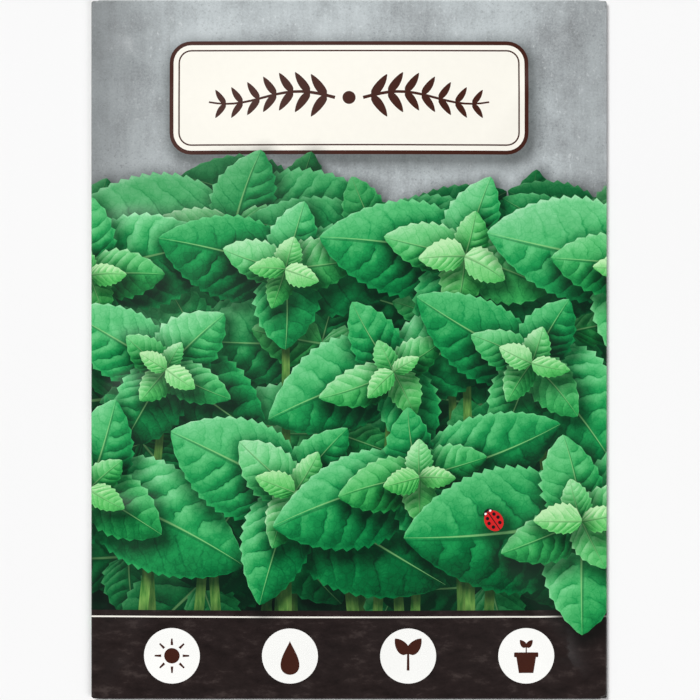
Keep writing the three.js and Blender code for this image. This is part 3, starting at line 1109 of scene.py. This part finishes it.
def sachetSwell(x, y):
    # a pillow over the pocket, with small puckers that run in from its seals
    pocketHalf = (sachet["high"] - sachet["low"]) / 2 - sachet["seal"]
    u, v = x / (sachet["halfWidth"] - sachet["seal"]), (y - sachetMiddle) / pocketHalf
    pillow = crown(np.clip(u, -1, 1), 2) * crown(np.clip(v, -1, 1), 3)
    pucker = np.clip(np.sin(1.1 * x) * v ** 8 + np.sin(0.9 * y) * u ** 8, -1, 1)
    return sachet["fill"] * pillow + sachet["pucker"] * pucker * pillow ** 0.5


def toothedEnds(x, y, pitch, depth, reach):
    # the ends are cut in a zigzag, inside the web's own length
    wave = np.abs((x / pitch) % 1 - 0.5) * 2 * depth
    return y - np.sign(y - sachetMiddle) * wave * np.clip(1 - endGap(y) / reach, 0, 1)


def closedWeb(name, node, x, y, top, look):
    # two grids a web's thickness apart, joined by a flat wall round their rim
    count = x.size
    index = np.arange(count).reshape(x.shape)
    quads = np.stack([index[:-1, :-1], index[:-1, 1:], index[1:, 1:], index[1:, :-1]], -1).reshape(-1, 4)
    rim = np.concatenate([index[0, :-1], index[:-1, -1], index[-1, :0:-1], index[:0:-1, 0]])
    after = np.roll(rim, -1)
    wall = np.c_[rim, rim + count, after + count, after]
    places = np.vstack([np.stack([x, y, z], -1).reshape(-1, 3) for z in (top, top - sachet["web"])])
    faces = np.vstack([quads, quads[:, ::-1] + count, wall])
    mesh = makeMesh(name, places, faces.tolist(), [look])
    mesh.polygons.foreach_set("use_smooth", np.arange(len(faces)) < 2 * len(quads))
    addPiece(mesh, node)


def sachetPaper():
    # white paper over foil: faint grey cast, fine creases and a dull sheen
    look = Look("sachetPaper", onPage=False)
    fibre = look.noise(2600, 4, 0.6)
    crease = look.noise(160, 5, 0.7, (1, 0.4, 1))
    colour = look.ramp(crease * 0.6 + fibre * 0.4, (0.3, 206, 206, 202), (0.7, 232, 231, 226))
    return look.finish(colour, 0.44 + crease * 0.16, 0.4, (crease + fibre * 0.2, 0.4, 0.00006))


def buildSachet():
    x, y = sachetGrid()
    ribs, cut = sachetRibs(x, y, **sachet["rib"]), toothedEnds(x, y, **sachet["tooth"])
    look = sachetPaper()
    swollen = sachet["frontTop"] + sachetSwell(x, y) + ribs
    closedWeb("sachet_front_web", "sachet_front", x, cut, swollen, look)
    closedWeb("sachet_back_web", "sachet_back", x, cut, sachet["backTop"] + ribs, look)


buildSachet()


# The seeds, a loose heap on the back web

heapLow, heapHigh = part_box("seeds")
heap = {
    "middle": [(heapLow.x + heapHigh.x) / mm / 2, (heapLow.y + heapHigh.y) / mm / 2],
    "low": heapLow.z / mm,
    "pitch": 1.75,
    "radii": [6.4, 3.2],   # one for each layer
    "rise": 0.95,
    "nudge": 0.22,
    "seed": [1.15, 0.78, 0.66],   # half its length, width and thickness
    "taper": 0.18,
    "keel": 0.05,
    "steps": [10, 9],   # round the seed and along it
}


def seedShape():
    # an egg shape: an ellipsoid that narrows towards one end, with a faint keel
    around, along = heap["steps"]
    a = np.arange(around) * 2 * math.pi / around
    v = np.linspace(0, math.pi, along)[1:-1, None]
    girth = np.sin(v) * (1 - heap["taper"] * np.cos(v))
    keel = 1 + heap["keel"] * np.cos(2 * a)
    ring = np.stack(np.broadcast_arrays(np.cos(v), girth * np.cos(a), girth * np.sin(a) * keel), -1)
    points = np.vstack([ring.reshape(-1, 3), [(1, 0, 0), (-1, 0, 0)]]) * heap["seed"]
    index = np.arange((along - 2) * around).reshape(-1, around)
    after = np.roll(index, -1, axis=1)
    sides = np.stack([index[1:], after[1:], after[:-1], index[:-1]], -1).reshape(-1, 4)
    head, tail = np.full((2, around), [[len(points) - 2], [len(points) - 1]])
    caps = np.vstack([np.c_[index[0], after[0], head], np.c_[after[-1], index[-1], tail]])
    return points, sides, caps


def heapPlaces():
    # six-sided packing in layers, each seed nudged, the upper layer in the lower one's dips
    places = []
    for layer, radius in enumerate(heap["radii"]):
        k = np.arange(-6, 7)
        row, column = np.meshgrid(k, k)
        x = heap["pitch"] * (column + 0.5 * (row % 2) + 0.5 * layer)
        y = heap["pitch"] * rowRise * (row + 0.66 * layer)
        inside = np.hypot(x, y) < radius
        z = np.full(inside.sum(), heap["low"] + heap["seed"][2] + layer * heap["rise"])
        places.append(np.c_[x[inside], y[inside], z])
    places = np.vstack(places)
    places[:, :2] += draw.uniform(-heap["nudge"], heap["nudge"], (len(places), 2)) + heap["middle"]
    return places


def seedCoat():
    # near-black brown with a dull bloom
    look = Look("seedCoat", onPage=False)
    grain = look.noise(2400, 4, 0.65)
    colour = look.ramp(grain, (0.3, 26, 19, 16), (0.55, 48, 37, 30), (0.75, 84, 68, 54))
    return look.finish(colour, 0.55 + grain * 0.2, 0.4, (grain, 0.5, 0.00004))


def buildSeeds():
    points, sides, caps = seedShape()
    places = heapPlaces()
    turns = draw.uniform(0, 2 * math.pi, len(places))
    cos, sin = np.cos(turns)[:, None], np.sin(turns)[:, None]
    x = points[:, 0] * cos - points[:, 1] * sin
    y = points[:, 0] * sin + points[:, 1] * cos
    z = np.tile(points[:, 2], (len(places), 1))
    seeds = (np.stack([x, y, z], -1) + places[:, None, :]).reshape(-1, 3)
    shift = np.arange(len(places))[:, None, None] * len(points)
    faces = (sides + shift).reshape(-1, 4).tolist() + (caps + shift).reshape(-1, 3).tolist()
    addPiece(makeMesh("seed_heap", seeds, faces, [seedCoat()]), "seeds")


buildSeeds()


# Floor, light and camera

studio = {
    "floorHalf": 3000,
    "floorDrop": 0.1,
    "floorGreys": [236.15, 239.83],   # screen colours that the floor varies between
    # brightness by height: a soft ring of light half way up, dim at the horizon and overhead
    "sky": [(0, 0.1), (0.3, 0.13), (0.5, 0.46), (0.7, 0.46), (0.87, 0.09), (1, 0.02)],
    "key": {"source": (-0.5, 0.56, 0.92), "spread": 26 * degree, "power": 2.65},
    "fill": {"source": (0.75, -0.35, 0.7), "spread": 40 * degree, "power": 1},
    "lens": 150,
    "sensor": 36,
    "pixels": 700,
    "packetPixels": 699.3,   # the packet's height in the picture
    "offCentre": (0.95, -0.36),   # pixels from the packet's middle to the picture's
}


def makeFloor():
    look = Look("floorPaint", onPage=False)
    dark, pale = studio["floorGreys"]
    colour = look.ramp(look.noise(6, 2), (0, dark, dark, dark), (1, pale, pale, pale))
    half = studio["floorHalf"]
    corners = np.insert(np.array(box(-half, half, -half, half)), 2, 0.0, axis=1)
    paintwork = look.finish(colour, 0.8, 0.2)
    floor = addToScene("floor", makeMesh("floor", corners, [(0, 1, 2, 3)], [paintwork]))
    floor.location.z = -studio["floorDrop"] * mm


def addLight(name, source, spread, power):
    # a wide far lamp lights the floor evenly and throws soft shadows
    lamp = bpy.data.lights.new(name, "SUN")
    lamp.angle, lamp.energy = spread, power
    holder = addToScene(name, lamp)
    holder.location = source
    holder.rotation_euler = holder.location.to_track_quat("Z", "Y").to_euler()


def makeSky():
    world = bpy.data.worlds.new("studio")
    bpy.context.scene.world = world
    world.use_nodes = True
    sky = world.node_tree
    kinds = "TexCoord", "SeparateXYZ", "ValToRGB"
    place, height, ramp = (sky.nodes.new("ShaderNode" + kind) for kind in kinds)
    setStops(ramp.color_ramp, [(level, (bright, bright, bright, 1.0)) for level, bright in studio["sky"]])
    sky.links.new(place.outputs["Generated"], height.inputs[0])
    sky.links.new(height.outputs["Z"], ramp.inputs[0])
    sky.links.new(ramp.outputs[0], sky.nodes["Background"].inputs[0])


def makeCamera():
    # straight down on the front; the packet's edges land on the photograph's pixels
    camera = bpy.data.cameras.new("camera")
    camera.lens, camera.sensor_width = studio["lens"], studio["sensor"]
    camera.clip_start, camera.clip_end = 0.01, 20
    pixel = sheet["height"] / studio["packetPixels"] * mm
    distance = pixel * studio["pixels"] * studio["lens"] / studio["sensor"]
    right, up = studio["offCentre"]
    holder = addToScene("camera", camera)
    holder.location = (right * pixel, up * pixel, sheet["rimTop"] * mm + distance)
    bpy.context.scene.camera = holder


makeFloor()
makeSky()
for lampName in ("key", "fill"):
    addLight(lampName, **studio[lampName])
makeCamera()
bpy.context.scene.view_settings.view_transform = "Standard"
print("scene ready")
